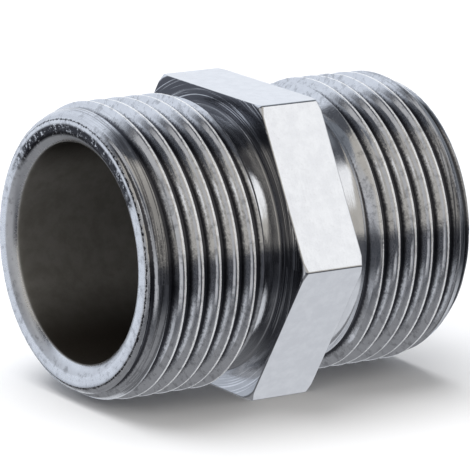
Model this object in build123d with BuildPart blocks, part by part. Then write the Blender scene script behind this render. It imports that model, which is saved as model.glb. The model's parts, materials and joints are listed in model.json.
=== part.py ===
from build123d import *
from math import cos, pi, radians, sin, tan
import os

# Hex nipple, G 3/4 male on both ends, machined in one piece from bar.
# Axis along X, origin at the centre of the hexagon, two hexagon flats facing up and down. Millimetres.

# Body
length = 34.8
across_flats = 26.7
hex_width = 6.4
hex_edge_radius = 0.3  # the six long edges of the hexagon
corner_bevel = 0.35  # axial depth of the turned bevel on the hexagon's corners
corner_bevel_angle = 30.0  # measured from the hexagon's end face
bore_diameter = 19.5

# G 3/4 parallel pipe thread, 14 threads per inch, 55 degree flanks
major_diameter = 26.441
pitch = 25.4 / 14
thread_height = 0.640327 * pitch
flank_angle = 27.5
tool_half_width = 0.475 * pitch  # leaves a narrow land on each crest
tool_overshoot = 0.35  # how far the tool stands out past the crests
crest_break = 0.11  # depth of the broken edge along each crest

# Ends and necks
end_face_outer_radius = 11.8
end_face_inner_radius = 10.8
end_cone_angle = 30.0  # outside chamfer, measured from the axis
bore_chamfer_depth = 0.8
neck_radius = 11.85
neck_fillet = 0.3
neck_width = {-1: 2.1, 1: 2.6}  # the two ends are cut in separate set-ups

# Where each thread tool starts, beyond its end face, and where it stops, inside its neck
tool_start = {-1: 1.78, 1: 1.62}
tool_stop_from_hexagon = 1.2
section_turn = {-1: -60.0, 1: 155.0}  # where each turned end starts, clear of where its thread starts

# Worked out from the sizes above
half_length = length / 2
half_hex = hex_width / 2
major_radius = major_diameter / 2
minor_radius = major_radius - thread_height
pitch_radius = major_radius - thread_height / 2
bore_radius = bore_diameter / 2
across_corners = across_flats / cos(pi / 6)
flank_slope = tan(radians(flank_angle))
end_cone_length = (major_radius - end_face_outer_radius) / tan(radians(end_cone_angle))

os.makedirs("parts", exist_ok=True)


def end_outline(side):
    """Half section of one turned end: distance outward from the hexagon's centre, then radius."""
    neck_end = half_hex + neck_width[side]
    foot = (half_hex, neck_radius + neck_fillet)
    neck_start = (half_hex + neck_fillet, neck_radius)
    RadiusArc(foot, neck_start, -neck_fillet)
    Polyline(
        neck_start,
        (neck_end, neck_radius),
        (neck_end, major_radius),
        (half_length - end_cone_length, major_radius),
        (half_length, end_face_outer_radius),
        (half_length, end_face_inner_radius),
        (half_length - bore_chamfer_depth, bore_radius),
        (0, bore_radius),
        (0, neck_radius + neck_fillet),
        foot,
    )


def thread_tool_outline():
    """Section of the thread tool: x along the nipple's axis, y the distance from that axis."""
    sharp_half = flank_slope * (pitch_radius - minor_radius)
    half_at_pitch = pitch / 4
    break_start = major_radius - crest_break
    half_at_break = half_at_pitch + flank_slope * (break_start - pitch_radius)
    top = major_radius + tool_overshoot
    right_side = [
        (half_at_pitch - sharp_half, minor_radius),
        (half_at_break, break_start),
        (tool_half_width, major_radius + crest_break / 2),
        (tool_half_width, top),
    ]
    left_side = [(-x, radius) for x, radius in reversed(right_side)]
    return right_side + left_side


def section_plane(side):
    """Plane of an end's half section: x outward from the hexagon's centre, y away from the axis.

    It is turned well away from where the thread tool starts, so that the two never share an edge.
    """
    turn = radians(section_turn[side])
    return Plane(origin=(0, 0, 0), x_dir=(side, 0, 0), z_dir=(0, -side * sin(turn), side * cos(turn)))


with BuildPart() as nipple_body:
    for side in (-1, 1):
        # Turned end
        with BuildSketch(section_plane(side)):
            with BuildLine():
                end_outline(side)
            make_face()
        revolve(axis=Axis.X)

        # Right-hand thread, cut from beyond the end face into the neck
        start = side * (half_length + tool_start[side])
        travel = half_length + tool_start[side] - half_hex - tool_stop_from_hexagon
        inward = (-side, 0, 0)
        with BuildLine() as tool_path:
            Helix(pitch, travel, pitch_radius, center=(start, 0, 0), direction=inward)
        with BuildSketch(Plane(origin=(start, 0, 0), x_dir=inward, z_dir=(0, -1, 0))):
            with BuildLine():
                Polyline(thread_tool_outline(), close=True)
            make_face()
        before = nipple_body.part.volume
        sweep(path=tool_path.line, is_frenet=True, mode=Mode.SUBTRACT)
        print("end", side, "thread cut removed mm3", round(before - nipple_body.part.volume, 1))

    # Hexagon with softened long edges
    with BuildSketch(Plane.YZ.offset(-half_hex)) as hexagon:
        RegularPolygon(across_flats / 2, 6, major_radius=False)
        fillet(hexagon.vertices(), hex_edge_radius)
        Circle(bore_radius, mode=Mode.SUBTRACT)
    extrude(amount=hex_width)

    # Shallow cone that turns back the hexagon's corners on both faces
    bevel_inner_radius = across_corners / 2 - corner_bevel / tan(radians(corner_bevel_angle))
    for side in (-1, 1):
        with BuildSketch(Plane.XZ):
            with BuildLine():
                Polyline(
                    (side * half_hex, bevel_inner_radius),
                    (side * half_hex, across_corners / 2),
                    (side * (half_hex - corner_bevel), across_corners / 2),
                    close=True,
                )
            make_face()
        revolve(axis=Axis.X, mode=Mode.SUBTRACT)

nipple_body.part.label = "nipple_body"
export_step(nipple_body.part, "parts/nipple_body.step")
print("volume mm3", round(nipple_body.part.volume, 1), "size", nipple_body.part.bounding_box().size)
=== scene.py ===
import json
from math import ceil, cos, floor, pi, radians, sin, sqrt, tan

import bmesh
import bpy
from mathutils import Matrix, Vector, noise


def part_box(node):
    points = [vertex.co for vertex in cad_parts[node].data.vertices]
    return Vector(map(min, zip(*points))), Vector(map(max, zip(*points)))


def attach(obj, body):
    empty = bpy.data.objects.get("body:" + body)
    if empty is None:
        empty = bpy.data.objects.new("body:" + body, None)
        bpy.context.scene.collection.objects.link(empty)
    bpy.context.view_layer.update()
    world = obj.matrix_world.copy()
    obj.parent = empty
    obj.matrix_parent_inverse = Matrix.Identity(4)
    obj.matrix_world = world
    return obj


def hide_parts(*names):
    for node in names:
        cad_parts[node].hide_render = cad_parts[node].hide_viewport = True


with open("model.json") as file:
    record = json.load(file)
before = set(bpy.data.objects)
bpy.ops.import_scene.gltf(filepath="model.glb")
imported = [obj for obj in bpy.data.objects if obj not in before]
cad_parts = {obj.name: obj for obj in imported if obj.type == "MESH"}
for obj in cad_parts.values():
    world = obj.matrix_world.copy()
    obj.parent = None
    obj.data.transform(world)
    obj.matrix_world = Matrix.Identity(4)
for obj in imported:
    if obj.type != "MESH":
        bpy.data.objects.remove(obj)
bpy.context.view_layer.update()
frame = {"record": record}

# Hex nipple, G 3/4 male on both ends. Sizes are in millimetres and turned into metres when a mesh is made.
# The nipple's axis is X. A "turn" is an angle round that axis, from +Y towards +Z.
# "Outward" is the distance along the axis from the hexagon's centre, towards either end.
# A side is -1 for the end at -X and 1 for the end at +X.

MM = 0.001

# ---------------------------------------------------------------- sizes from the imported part
node_low, node_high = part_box("nipple_body")
mounts = {m["name"]: m for m in frame["record"]["mounts"]}
half_length = node_high.x / MM
half_flats = node_high.z / MM
half_hex = mounts["shoulder_right"]["pos_m"][0] / MM
bore_radius = mounts["waterway"]["dims"]["r_mm"]
bore_chamfer_depth = half_length - mounts["waterway"]["dims"]["length_mm"] / 2
crest_radius = mounts["thread_left"]["dims"]["r_mm"]
neck_outer_end = {
    -1: half_length - mounts["thread_left"]["dims"]["length_mm"],
    1: half_length - mounts["thread_right"]["dims"]["length_mm"],
}

# ---------------------------------------------------------------- the thread's standard form
pitch = 25.4 / 14
flank_angle = radians(27.5)
form_radius = 0.137329 * pitch  # rounding of crests and roots
root_radius = crest_radius - 0.640327 * pitch
flank_slope = 1 / tan(flank_angle)  # fall of the flank for each millimetre along the axis
tangent_offset = form_radius * cos(flank_angle)  # from the crest's centre to where the flank starts
tangent_drop = form_radius * (1 - sin(flank_angle))
root_tangent = pitch / 2 - tangent_offset
# X of one crest on each thread, at crest_turn
crest_at = {-1: -14.27, 1: 8.51}
crest_turn = radians(165)

# ---------------------------------------------------------------- ends, necks and hexagon
end_face_outer = 11.8
end_face_inner = 10.8
rim_radius = 12.35  # where the short bevel beside the end face meets the long outside chamfer
rim_length = 0.42
end_slope = tan(radians(25))  # fall of the long chamfer for each millimetre along the axis
neck_radius = 11.85
neck_fillet = 0.3
lead_out_foot = 12.3  # radius where the small chamfer beside the neck meets the relief's wall
lead_out_slope = 1.0
hex_edge_radius = 0.3
corner_bevel_slope = tan(radians(30))
bevel_start_radius = 14.83  # where the turned bevel meets the hexagon's faces
edge_break = 0.07  # softening of the turned edges

# Rounding where two turned surfaces meet
bevel_rounding = 0.06
end_rounding = 0.05
lead_out_rounding = 0.12

# ---------------------------------------------------------------- the grid of the body's mesh
lines_per_pitch = 16
columns_each_sixth = 40
corner_columns = (-0.8, -0.55, -0.4, -0.2, 0, 0.2, 0.4, 0.55, 0.8)  # degrees from each hexagon corner
corner_clearance = 1.6  # degrees from a corner to the first evenly spaced column
close_step = 0.035  # between the lines beside an edge that the end chamfer cuts into a flank
thread_stop = half_length - 0.05  # outward end of the threaded stretch of the grid
merge_distance = 0.02  # a thread line this near its stretch's end is merged with it


def smooth_min(a, b, width):
    """The lower of two heights, with the corner between them rounded."""
    share = min(1.0, max(0.0, 0.5 + 0.5 * (b - a) / width))
    return b * (1 - share) + a * share - width * share * (1 - share)


def thread_radius(offset):
    """Radius of the thread's surface at a distance along the axis from the nearest crest's centre."""
    distance = abs(offset)
    if distance <= tangent_offset:
        return crest_radius - form_radius + sqrt(form_radius ** 2 - distance ** 2)
    if distance < root_tangent:
        return crest_radius - tangent_drop - flank_slope * (distance - tangent_offset)
    distance = pitch / 2 - distance
    return root_radius + form_radius - sqrt(max(form_radius ** 2 - distance ** 2, 0.0))


def end_cap_radius(outward):
    """Radius of the end's outside chamfers, the long one carried on inwards past the crests."""
    inward = half_length - outward
    bevel = end_face_outer + inward * (rim_radius - end_face_outer) / rim_length
    chamfer = rim_radius + (inward - rim_length) * end_slope
    return smooth_min(bevel, chamfer, bevel_rounding)


def lead_out_radius(side, outward):
    """Radius of the small chamfer where the thread runs out beside its neck."""
    return lead_out_foot + (outward - neck_outer_end[side]) * lead_out_slope


def crest_position(side, turn, number):
    """Distance from the hexagon's centre of a numbered crest, at one turn."""
    lead = pitch * (turn - crest_turn) / (2 * pi)
    return side * (crest_at[side] + lead) + number * pitch


def crest_numbers(side):
    """The crests that reach into a thread's zone at any turn."""
    positions = [crest_position(side, turn, 0) for turn in (0, 2 * pi)]
    first = floor((neck_outer_end[side] - max(positions)) / pitch) - 1
    last = ceil((half_length - min(positions)) / pitch) + 1
    return range(first, last + 1)


def crest_offsets(outward):
    """Grid lines round one crest, with lines on the two edges where the end chamfer cuts the flanks."""
    flank_foot = crest_radius - tangent_drop + flank_slope * tangent_offset
    above_cap = flank_foot - end_cap_radius(outward)
    nearest, farthest = 0.16, root_tangent - 0.06  # where an edge's lines may go
    far = min(farthest, max(nearest, above_cap / (flank_slope - end_slope)))
    near = min(farthest, max(nearest, above_cap / (flank_slope + end_slope)))
    inner = [
        -pitch / 2,
        -(pitch / 2 + root_tangent) / 2,
        -root_tangent,
        -(near + close_step + root_tangent) / 2,
        -near - close_step,
        -near,
        -near + close_step,
        -near / 2,
    ]
    outer = [
        0.0,
        far / 2,
        far - close_step,
        far,
        far + close_step,
        (far + close_step + root_tangent) / 2,
        root_tangent,
        (pitch / 2 + root_tangent) / 2,
    ]
    return inner + outer


def wear(side, outward, turn, radius):
    """Small unevenness of the turned and plated metal: how far the surface stands off its true radius."""
    ripple_height, ripple_scale = 0.010, 0.55
    dent_depth, dent_start, worn_length = 0.06, 0.12, 3.2
    dent_stretch, dent_shift = Vector((2.6, 1.3, 1.3)), Vector((7, 3, 11))
    place = Vector((side * outward, cos(turn) * radius, sin(turn) * radius))
    ripple = ripple_height * noise.noise(place * ripple_scale)
    dents = noise.noise(place * dent_stretch + dent_shift)
    worn = max(0.0, 1 - (half_length - outward) / worn_length)
    return ripple - dent_depth * worn * max(0.0, dents - dent_start)


def zone_radius(side, outward, turn):
    """Radius of the threaded stretch at any point."""
    base = crest_position(side, turn, 0)
    offset = (outward - base + pitch / 2) % pitch - pitch / 2
    radius = smooth_min(thread_radius(offset), end_cap_radius(outward), end_rounding)
    radius = smooth_min(radius, lead_out_radius(side, outward), lead_out_rounding)
    return min(radius + wear(side, outward, turn, radius), crest_radius)


def hex_radius(turn):
    """Distance from the axis to the hexagon's side at one turn, with its six long edges rounded."""
    from_corner = (turn + pi / 6) % (pi / 3) - pi / 6
    centre = (half_flats - hex_edge_radius) / cos(pi / 6)  # of the rounding, from the axis
    rounded_turn = hex_edge_radius * sin(pi / 6) / (centre + hex_edge_radius * cos(pi / 6))
    if abs(from_corner) < rounded_turn:
        reach = sin(from_corner) * centre
        return centre * cos(from_corner) + sqrt(hex_edge_radius ** 2 - reach ** 2)
    return half_flats / cos(pi / 6 - abs(from_corner))


def bore_rings():
    """(outward, radius) from beside the bore's middle out over the inner chamfer and the end face."""
    start = half_length - bore_chamfer_depth
    width = end_face_inner - bore_radius
    chamfer_steps, chamfer_bulge = 8, 0.07
    rings = [(x, bore_radius) for x in (4.0, 8.0, 12.0, 14.5, 15.8)]
    rings += [(start - 0.25, bore_radius + 0.01), (start - 0.05, bore_radius + 0.05)]
    for step in range(1, chamfer_steps):
        share = step / chamfer_steps
        bulge = chamfer_bulge * sin(pi * share)
        rings.append((start + bore_chamfer_depth * share + bulge, bore_radius + width * share - bulge))
    # the end face, with both its edges softened
    rings += [
        (half_length - 0.03, end_face_inner - 0.05),
        (half_length, end_face_inner + 0.05),
        (half_length, end_face_inner + 0.35),
        (half_length, end_face_outer - 0.35),
        (half_length, end_face_outer - edge_break),
        (half_length - 0.015, end_face_outer - 0.02),
    ]
    return rings


def neck_rings(side, wall_radius):
    """(outward, radius) from the thread's last edge down to the neck, along it and up its fillet."""
    end = neck_outer_end[side]
    foot = neck_radius + 0.1
    floor_start = end - 0.18
    floor_stop = half_hex + neck_fillet
    floor_steps = 4
    rings = [
        (end - 0.03, wall_radius - 0.04),
        (end - 0.04, (wall_radius + foot) / 2),
        (end - 0.05, foot),
        (end - 0.09, neck_radius + 0.02),
        (floor_start, neck_radius),
    ]
    for step in range(1, floor_steps + 1):
        rings.append((floor_start + (floor_stop - floor_start) * step / floor_steps, neck_radius))
    for angle in (30, 60, 90):
        a = radians(angle)
        rings.append((floor_stop - neck_fillet * sin(a), neck_radius + neck_fillet * (1 - cos(a))))
    return rings


def hexagon_rings(turn):
    """(outward, radius) from the foot of the hexagon's face out to the middle of its side."""
    outer = hex_radius(turn)
    rim = min(bevel_start_radius, outer - edge_break)
    bevel = max((outer - bevel_start_radius) * corner_bevel_slope, edge_break)
    foot = neck_radius + neck_fillet
    face_edge = rim - 0.1
    rings = [(half_hex, foot + (face_edge - foot) * share) for share in (0.15, 0.35, 0.6, 0.8, 1.0)]
    first_share = 3 / 14  # how far up the bevel its first ring lies
    rings += [
        (half_hex, rim - 0.02),
        (half_hex - 0.02, rim + (outer - rim) * first_share),
        (half_hex - bevel + 0.02, outer - 0.02),
        (half_hex - bevel - 0.02, outer),
        (half_hex - bevel - 0.12, outer),
        (half_hex * 0.66, outer),
        (half_hex * 0.33, outer),
    ]
    return rings


def column_turns():
    """Turns of the grid's columns: evenly spaced, closer together round each corner of the hexagon."""
    spacing = (60 - 2 * corner_clearance) / (columns_each_sixth - 1)
    turns = []
    for corner in range(0, 360, 60):
        turns += [corner + d for d in corner_columns]
        turns += [corner + corner_clearance + spacing * i for i in range(columns_each_sixth)]
    return [radians(t) for t in sorted(t % 360 for t in turns)]


def make_nipple():
    """The whole body as one closed grid: rings along the profile, columns round the axis."""
    vertices, faces = [], []
    columns = []  # for each turn: the column's stretches by name, as vertex numbers
    sharp_angle = radians(50)  # faces that meet more steeply than this are shaded with a hard edge

    def add(outward, radius, side, turn):
        vertices.append(Vector((side * outward, radius * cos(turn), radius * sin(turn))) * MM)
        return len(vertices) - 1

    for turn in column_turns():
        column = {}
        column["middle"] = add(0.0, bore_radius, 1, turn)
        column["crown"] = add(0.0, hex_radius(turn), 1, turn)
        for side in (-1, 1):
            column["bore", side] = [add(x, r, side, turn) for x, r in bore_rings()]
            high = add(thread_stop, zone_radius(side, thread_stop, turn), side, turn)
            low_radius = zone_radius(side, neck_outer_end[side], turn)
            low = add(neck_outer_end[side], low_radius, side, turn)
            lines = []
            for number in crest_numbers(side):
                centre = crest_position(side, turn, number)
                for offset in crest_offsets(centre):
                    outward = centre + offset
                    if outward >= thread_stop - merge_distance:
                        lines.append(high)
                    elif outward <= neck_outer_end[side] + merge_distance:
                        lines.append(low)
                    else:
                        lines.append(add(outward, zone_radius(side, outward, turn), side, turn))
            column["thread", side] = lines
            column["ends", side] = (low, high)
            column["neck", side] = [add(x, r, side, turn) for x, r in neck_rings(side, low_radius)]
            column["hex", side] = [add(x, r, side, turn) for x, r in hexagon_rings(turn)]
        columns.append(column)

    def joined(column, shift):
        """One column's vertex numbers in profile order. shift moves the thread's lines by whole pitches."""
        order = [column["middle"]]
        for side in (-1, 1):
            low, high = column["ends", side]
            lines = column["thread", side]
            move = shift * side * lines_per_pitch
            if move > 0:
                lines = lines[move:] + [high] * move
            elif move < 0:
                lines = [low] * -move + lines[:move]
            stretch = column["bore", side] + [high] + lines[::-1] + [low]
            stretch += column["neck", side] + column["hex", side]
            if side < 0:
                order += stretch + [column["crown"]]
            else:
                order += stretch[::-1]
        return order

    for index, column in enumerate(columns):
        last = index + 1 == len(columns)
        here = joined(column, 0)
        there = joined(columns[0], 1) if last else joined(columns[index + 1], 0)
        count = len(here)
        for i in range(count):
            k = (i + 1) % count
            corners = []
            for v in (here[i], here[k], there[k], there[i]):
                if v not in corners:
                    corners.append(v)
            if len(corners) > 2:
                faces.append(corners)

    mesh = bpy.data.meshes.new("nipple_turned_body")
    mesh.from_pydata(vertices, [], faces)
    work = bmesh.new()
    work.from_mesh(mesh)
    bmesh.ops.delete(work, geom=[v for v in work.verts if not v.link_faces], context="VERTS")
    bmesh.ops.recalc_face_normals(work, faces=work.faces)
    open_edges = sum(1 for e in work.edges if len(e.link_faces) != 2)
    volume = work.calc_volume() / MM ** 3
    print("open edges", open_edges, "faces", len(work.faces), "volume mm3", round(volume, 1))
    work.to_mesh(mesh)
    work.free()
    mesh.validate()
    mesh.shade_smooth()
    mesh.set_sharp_from_angle(angle=sharp_angle)
    piece = bpy.data.objects.new("nipple_turned_body", mesh)
    bpy.context.scene.collection.objects.link(piece)
    return piece


# ---------------------------------------------------------------- node helpers
class Nodes:
    """Short ways to add and join nodes in one tree."""

    def __init__(self, tree):
        self.tree = tree
        tree.nodes.clear()

    def add(self, kind, **settings):
        node = self.tree.nodes.new(kind)
        for key, value in settings.items():
            setattr(node, key, value)
        return node

    def put(self, socket, value):
        if isinstance(value, bpy.types.NodeSocket):
            self.tree.links.new(value, socket)
        else:
            socket.default_value = value

    def math(self, operation, *values):
        node = self.add("ShaderNodeMath", operation=operation)
        for socket, value in zip(node.inputs, values):
            self.put(socket, value)
        return node.outputs[0]

    def chain(self, operation, values):
        """One operation carried through a row of values."""
        result = values[0]
        for value in values[1:]:
            result = self.math(operation, result, value)
        return result

    def total(self, *values):
        return self.chain("ADD", values)

    def product(self, *values):
        return self.chain("MULTIPLY", values)

    def lowest(self, *values):
        return self.chain("MINIMUM", values)

    def highest(self, *values):
        return self.chain("MAXIMUM", values)

    def ramp(self, value, low, high, to_low=0.0, to_high=1.0):
        """Smooth step of a value, from to_low at low to to_high at high."""
        node = self.add("ShaderNodeMapRange", interpolation_type="SMOOTHSTEP")
        for name, item in (
            ("Value", value), ("From Min", low), ("From Max", high), ("To Min", to_low), ("To Max", to_high)
        ):
            self.put(node.inputs[name], item)
        return node.outputs["Result"]

    def fade(self, value, low, high):
        """Smooth step down, from 1 at low to 0 at high."""
        return self.ramp(value, low, high, 1.0, 0.0)

    def mix(self, share, a, b):
        node = self.add("ShaderNodeMix", data_type="RGBA")
        for name, item in (("Factor_Float", share), ("A_Color", a), ("B_Color", b)):
            self.put(next(s for s in node.inputs if s.identifier == name), item)
        return next(s for s in node.outputs if s.identifier == "Result_Color")

    def split(self, vector):
        """The X, Y and Z of a vector."""
        node = self.add("ShaderNodeSeparateXYZ")
        self.put(node.inputs[0], vector)
        return node.outputs

    def join(self, *parts):
        """A vector made from its X, Y and Z."""
        node = self.add("ShaderNodeCombineXYZ")
        for socket, value in zip(node.inputs, parts):
            self.put(socket, value)
        return node.outputs[0]

    def noise(self, vector, scale, detail, rough):
        node = self.add("ShaderNodeTexNoise")
        self.put(node.inputs["Vector"], vector)
        self.put(node.inputs["Scale"], scale)
        self.put(node.inputs["Detail"], detail)
        self.put(node.inputs["Roughness"], rough)
        return node.outputs["Fac"]


# ---------------------------------------------------------------- studio
room_colour = (0.070, 0.075, 0.088, 1)
seen_background = (0.97, 0.97, 0.97, 1)  # what the camera sees behind the nipple
# The studio's light panels, each laid over the ones before it, in degrees:
# azimuth, elevation, half width, half height, softness of the sides, softness of top and bottom, colour
studio_panels = (
    # dim strip right of the nipple
    (18, 26, 26, 30, 16, 16, (0.22, 0.24, 0.27, 1)),
    # pale ground, brighter on the right
    (0, -62, 180, 27, 10, 20, (0.225, 0.23, 0.245, 1)),
    (345, -55, 52, 25, 30, 20, (0.58, 0.60, 0.64, 1)),
    # lit ground to the right, seen along the nipple's lower edge
    (38, -42, 42, 17, 24, 14, (0.60, 0.62, 0.66, 1)),
    # dark skirt of the room between the ground and the fill
    (240, -13, 72, 14, 14, 12, (0.070, 0.073, 0.084, 1)),
    # broad warm fill behind the camera
    (250, 38, 69, 38, 8, 8, (0.435, 0.418, 0.390, 1)),
    # low reflector off the near end
    (170, -15, 28, 12, 10, 8, (0.48, 0.49, 0.52, 1)),
    # bluish wall behind the nipple, brighter at its right end
    (92, 21, 49, 46, 14, 20, (0.66, 0.71, 0.80, 1)),
    (56, 13, 15, 22, 10, 16, (0.82, 0.86, 0.93, 1)),
    # key softbox right of the camera, with a hotter panel at its edge
    (338, 22, 19, 25, 7, 10, (0.66, 0.67, 0.70, 1)),
    (317, 34, 9, 15, 5, 8, (0.92, 0.93, 0.95, 1)),
    # two reflectors that light the inner chamfer and the rim of the near end
    (196, 10, 18, 14, 8, 8, (0.42, 0.425, 0.44, 1)),
    (166, 30, 16, 11, 8, 6, (0.42, 0.425, 0.44, 1)),
)


def make_world():
    """A soft studio: broad light panels on a dim room, placed by azimuth and elevation."""
    world = bpy.data.worlds.new("studio")
    bpy.context.scene.world = world
    world.use_nodes = True
    n = Nodes(world.node_tree)
    degrees = 180 / pi
    way = n.add("ShaderNodeTexCoord").outputs["Generated"]
    height = n.product(n.math("ARCSINE", n.split(way)["Z"]), degrees)

    def panel(azimuth, elevation, half_width, half_height, soft_side, soft_top):
        """Mask of one panel, 1 inside and falling to 0 over its soft edges."""
        turned = n.add("ShaderNodeVectorRotate", rotation_type="Z_AXIS")
        n.put(turned.inputs["Vector"], way)
        n.put(turned.inputs["Angle"], -radians(azimuth))
        ahead, left, _ = n.split(turned.outputs[0])
        across = n.math("ABSOLUTE", n.product(n.math("ARCTAN2", left, ahead), degrees))
        up = n.math("ABSOLUTE", n.math("SUBTRACT", height, elevation))
        wide = n.fade(across, half_width - soft_side / 2, half_width + soft_side / 2)
        tall = n.fade(up, half_height - soft_top / 2, half_height + soft_top / 2)
        return n.product(wide, tall)

    colour = room_colour
    for *place, light in studio_panels:
        colour = n.mix(panel(*place), colour, light)
    seen = n.add("ShaderNodeLightPath").outputs["Is Camera Ray"]
    background = n.add("ShaderNodeBackground")
    n.put(background.inputs["Color"], n.mix(seen, colour, seen_background))
    output = n.add("ShaderNodeOutputWorld")
    n.put(output.inputs["Surface"], background.outputs[0])


def make_floor():
    """A plain pale floor just under the bottom flat of the hexagon."""
    floor_radius, gap = 3.0, 0.02 * MM
    mesh = bpy.data.meshes.new("floor")
    work = bmesh.new()
    bmesh.ops.create_circle(work, cap_ends=True, segments=64, radius=floor_radius)
    work.to_mesh(mesh)
    work.free()
    floor_piece = bpy.data.objects.new("floor", mesh)
    floor_piece.location.z = node_low.z - gap
    bpy.context.scene.collection.objects.link(floor_piece)
    floor_piece.visible_glossy = False
    material = bpy.data.materials.new("pale_floor")
    material.use_nodes = True
    n = Nodes(material.node_tree)
    shader = n.add("ShaderNodeBsdfPrincipled")
    n.put(shader.inputs["Base Color"], (0.93, 0.93, 0.935, 1))
    n.put(shader.inputs["Roughness"], 0.9)
    n.put(shader.inputs["Specular IOR Level"], 0.0)
    n.put(n.add("ShaderNodeOutputMaterial").inputs["Surface"], shader.outputs[0])
    mesh.materials.append(material)


def make_lights():
    """Soft light from above, for the floor and the rubbed crests. The plating reflects only the panels."""
    for name, tilt, turn, strength in (("over", 14, 200, 2.2), ("side", 48, 300, 0.7)):
        light = bpy.data.lights.new(name, "SUN")
        light.energy = strength
        light.angle = radians(50)
        lamp = bpy.data.objects.new(name, light)
        lamp.rotation_euler = (radians(tilt), 0, radians(turn))
        lamp.visible_glossy = False
        bpy.context.scene.collection.objects.link(lamp)


def make_camera():
    """A long lens at the viewing angle, aimed near the middle of the nipple."""
    azimuth, elevation, roll = radians(-35.08), radians(13.78), radians(1.81)
    distance, aim_right, aim_up = 389.4, 0.041, -0.245
    back = Vector((sin(azimuth) * cos(elevation), -cos(azimuth) * cos(elevation), sin(elevation)))
    level = Vector((cos(azimuth), sin(azimuth), 0))
    above = back.cross(level)
    right = level * cos(roll) + above * sin(roll)
    up = above * cos(roll) - level * sin(roll)
    data = bpy.data.cameras.new("camera")
    data.sensor_width = 36
    data.lens = 332.96
    data.clip_start = 0.05
    camera = bpy.data.objects.new("camera", data)
    place = (back * distance + right * aim_right + up * aim_up) * MM
    camera.matrix_world = Matrix.Translation(place) @ Matrix((right, up, back)).transposed().to_4x4()
    bpy.context.scene.collection.objects.link(camera)
    bpy.context.scene.camera = camera


# ---------------------------------------------------------------- material
bright_plate = (0.95, 0.955, 0.965, 1)
duller_plate = (0.88, 0.885, 0.90, 1)
rubbed_crest = (0.98, 0.98, 0.98, 1)
# dark film of the stains and scars, also the colour of the painted shade in the grooves and on the hexagon's
# end faces
dark_film_and_shade = (0.10, 0.102, 0.115, 1)
scorched_metal = (0.030, 0.030, 0.036, 1)
bore_light = (0.190, 0.180, 0.165, 1)
bore_dark = (0.150, 0.142, 0.125, 1)
# painted shade: near black for the top and bottom of the bore
painted_bore_shade = (0.022, 0.018, 0.014, 1)


class Surface:
    """Where a point of the nipple lies, in millimetres, and the noises that its marks share."""

    def __init__(self, n):
        scaled = n.add("ShaderNodeVectorMath", operation="SCALE")
        n.put(scaled.inputs[0], n.add("ShaderNodeTexCoord").outputs["Object"])
        n.put(scaled.inputs["Scale"], 1 / MM)
        self.at = scaled.outputs[0]
        self.x, y, z = n.split(self.at)
        self.along = n.math("ABSOLUTE", self.x)
        self.radius = n.math("SQRT", n.total(n.product(y, y), n.product(z, z)))
        self.around = n.math("ARCTAN2", z, y)
        self.high = n.math("DIVIDE", z, self.radius)  # 1 at the top of the nipple, -1 at the bottom

        self.blotch = n.noise(self.at, scale=0.9, detail=4.0, rough=0.6)
        self.grain = n.noise(self.at, scale=6.0, detail=3.0, rough=0.6)
        self.fine = n.noise(self.at, scale=22.0, detail=2.0, rough=0.5)
        # rings left by turning, which follow the axis and the radius
        rings = n.join(n.product(self.x, 9.0), n.product(self.radius, 9.0), n.product(self.around, 1.2))
        self.turned = n.noise(rings, scale=1.0, detail=3.0, rough=0.6)

        # how far outside its neck a point lies, and how deep below the thread's envelope
        wider_neck = n.product(n.math("GREATER_THAN", self.x, 0.0), neck_outer_end[1] - neck_outer_end[-1])
        self.past_neck = n.math("SUBTRACT", n.math("SUBTRACT", self.along, wider_neck), neck_outer_end[-1])
        inward = n.math("SUBTRACT", half_length, self.along)
        bevel = n.math("MULTIPLY_ADD", inward, (rim_radius - end_face_outer) / rim_length, end_face_outer)
        chamfer = n.math("MULTIPLY_ADD", inward, end_slope, rim_radius - rim_length * end_slope)
        lead_out = n.math("MULTIPLY_ADD", self.past_neck, lead_out_slope, lead_out_foot)
        envelope = n.lowest(bevel, chamfer, lead_out, crest_radius)
        self.depth = n.math("SUBTRACT", envelope, self.radius)
        self.full_depth = n.highest(n.math("SUBTRACT", envelope, root_radius), 0.15)

        # regions, 1 inside and 0 outside
        self.on_thread = n.ramp(self.past_neck, -0.05, 0.05)
        self.outside = n.ramp(self.radius, end_face_outer - 0.05, end_face_outer + 0.05)
        self.bore = n.fade(self.radius, bore_radius + 0.05, bore_radius + 0.2)
        self.face = n.ramp(self.along, half_length - 0.5, half_length - 0.02)
        self.side_of_hex = n.ramp(self.radius, half_flats - 0.08, half_flats - 0.02)
        self.inner_chamfer = n.product(
            n.ramp(self.radius, bore_radius + 0.1, bore_radius + 0.25),
            n.fade(self.radius, end_face_inner - 0.1, end_face_inner + 0.1),
        )


def painted_groove_shade(n, s):
    """Painted shade in the thread's grooves, darker towards the roots, with a ragged edge."""
    unevenness = n.math("SUBTRACT", s.grain, 0.5)
    depth_share = n.math("DIVIDE", s.depth, s.full_depth)
    ragged = n.math("MULTIPLY_ADD", unevenness, 0.45, depth_share)
    return n.product(n.ramp(ragged, 0.48, 0.78), s.outside, s.on_thread)


def painted_shoulder_shade(n, s):
    """Painted shade on the hexagon's end faces and faintly on the necks, in the dark film colour, lighter on
    the far face and towards the bottom, broken by brighter turned arcs.
    """
    shoulder = n.product(
        n.ramp(s.along, half_hex - 0.12, half_hex - 0.02),
        n.fade(s.along, half_hex + 0.05, half_hex + 0.35),
        n.ramp(s.x, -1.0, 1.0, 1.0, 0.25),  # painted shade lighter on the far face
        n.ramp(s.high, -0.90, -0.50, 0.45, 1.0),  # and lighter towards the bottom
    )
    neck = n.product(
        n.ramp(s.along, half_hex, half_hex + 0.1),
        n.ramp(s.along, half_hex + 1.95, half_hex + 2.1, 0.05, 0.0),
    )
    arcs = n.product(n.ramp(s.turned, 0.56, 0.66), 0.8)
    return n.product(n.highest(shoulder, neck), n.math("SUBTRACT", 1.0, arcs))


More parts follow.
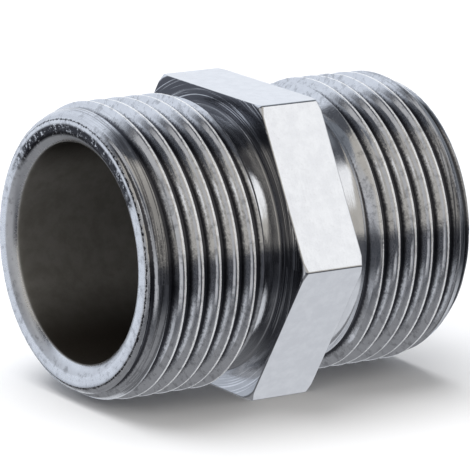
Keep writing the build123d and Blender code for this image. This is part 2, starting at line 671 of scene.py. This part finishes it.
def stains(n, s):
    """Thin stains over the turned ends."""
    cloud = n.noise(s.at, scale=1.2, detail=5.0, rough=0.7)
    off_bore = n.ramp(s.radius, end_face_inner - 0.6, end_face_inner - 0.4)
    return n.product(n.ramp(cloud, 0.50, 0.66, 0.0, 0.36), off_bore, s.on_thread)


def scars(n, s):
    """Ragged dark scars that follow the turning, over a darker band along the sides that fades out towards
    the top and the bottom, on the outside chamfers.
    """
    lines = n.join(n.product(s.x, 7.0), n.product(s.grain, 0.7), n.product(s.around, 1.5))
    scar = n.ramp(n.noise(lines, scale=1.0, detail=4.0, rough=0.7), 0.47, 0.58)
    side_band = n.product(n.ramp(s.high, 0.50, 0.85, 0.45, 0.0), n.ramp(s.high, -0.60, -0.10))
    return n.product(
        n.math("MULTIPLY_ADD", scar, 0.5, side_band),
        n.ramp(s.along, half_length - 2.5, half_length - 2.2),
        n.ramp(s.radius, rim_radius + 0.05, rim_radius + 0.15, 0.25, 1.0),
        s.outside,
    )


def scorch(n, s):
    """Near-black marks: a mottled patch at the top of both end faces and a thin pitted line at the rims."""
    uneven_top = n.total(s.high, n.product(n.math("SUBTRACT", s.blotch, 0.5), 0.7))
    patch = n.product(
        n.ramp(uneven_top, 0.45, 0.70),
        n.ramp(s.radius, end_face_inner - 0.45, end_face_inner - 0.2),
        n.fade(s.radius, end_face_outer - 0.45, end_face_outer - 0.2),
        n.fade(n.noise(s.at, scale=2.2, detail=5.0, rough=0.8), 0.55, 0.63),
    )
    flaw = n.noise(s.at, scale=3.4, detail=5.0, rough=0.75)
    off_rim = n.math("ABSOLUTE", n.math("SUBTRACT", s.radius, end_face_outer + 0.06))
    burr = n.product(
        n.fade(n.math("MULTIPLY_ADD", flaw, 0.55, off_rim), 0.28, 0.36),
        n.ramp(s.along, half_length - 0.3, half_length - 0.2),
    )
    return n.highest(patch, burr)


def crest_line(n, s):
    """Crests rubbed to a thin satin line, apart from those cut by a chamfer."""
    return n.product(
        n.fade(n.total(s.depth, n.product(s.grain, 0.05)), 0.03, 0.06),
        n.ramp(s.past_neck, 0.75, 0.95),
        n.fade(s.along, half_length - 2.6, half_length - 2.3),
    )


def plated_brass():
    """Bright chrome plate over turned brass: satin end faces, dull dark bore, fine marks round the axis."""
    material = bpy.data.materials.new("plated_brass")
    material.use_nodes = True
    n = Nodes(material.node_tree)
    s = Surface(n)
    # painted shade in the grooves and on the shoulders, together with the real stains and scars, all mixed
    # towards the dark film colour
    film_and_shade = n.highest(painted_groove_shade(n, s), painted_shoulder_shade(n, s), stains(n, s), scars(n, s))
    crest = crest_line(n, s)

    plate = n.mix(n.ramp(s.blotch, 0.35, 0.7), duller_plate, bright_plate)
    plate = n.mix(crest, plate, rubbed_crest)
    plate = n.mix(film_and_shade, plate, dark_film_and_shade)
    plate = n.mix(scorch(n, s), plate, scorched_metal)
    bore_colour = n.mix(n.ramp(s.blotch, 0.3, 0.7), bore_dark, bore_light)
    # painted shade darkens the bore towards its top and bottom
    bore_colour = n.mix(n.ramp(n.math("ABSOLUTE", s.high), 0.45, 0.95), bore_colour, painted_bore_shade)

    polish = 0.06
    roughness = n.total(
        polish,
        n.product(n.ramp(s.grain, 0.35, 0.75), 0.10),
        n.product(s.face, 0.16),
        n.product(film_and_shade, 0.12),
        n.product(s.side_of_hex, -0.03),
        n.product(crest, 0.22),
        n.product(s.inner_chamfer, 0.20),
        n.product(s.bore, 0.42),
    )
    # the bore's dull skin and the rubbed crests scatter light as well as reflecting it
    metallic = n.total(1.0, n.product(s.bore, -0.6), n.product(crest, -0.5))

    height = n.total(
        n.product(s.grain, 0.35), n.product(s.turned, 0.45), n.product(s.fine, 0.2), n.product(s.blotch, 0.9)
    )
    bump = n.add("ShaderNodeBump")
    n.put(bump.inputs["Strength"], 0.6)
    n.put(bump.inputs["Distance"], 0.014 * MM)
    n.put(bump.inputs["Height"], height)

    shader = n.add("ShaderNodeBsdfPrincipled")
    n.put(shader.inputs["Base Color"], n.mix(s.bore, plate, bore_colour))
    n.put(shader.inputs["Metallic"], metallic)
    n.put(shader.inputs["Roughness"], roughness)
    n.put(shader.inputs["Normal"], bump.outputs[0])
    n.put(n.add("ShaderNodeOutputMaterial").inputs["Surface"], shader.outputs[0])
    return material


# ---------------------------------------------------------------- the scene
bpy.context.scene.view_settings.view_transform = "Standard"
make_camera()
make_world()
make_floor()
make_lights()

nipple = make_nipple()
nipple.data.materials.append(plated_brass())
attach(nipple, "root")
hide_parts("nipple_body")
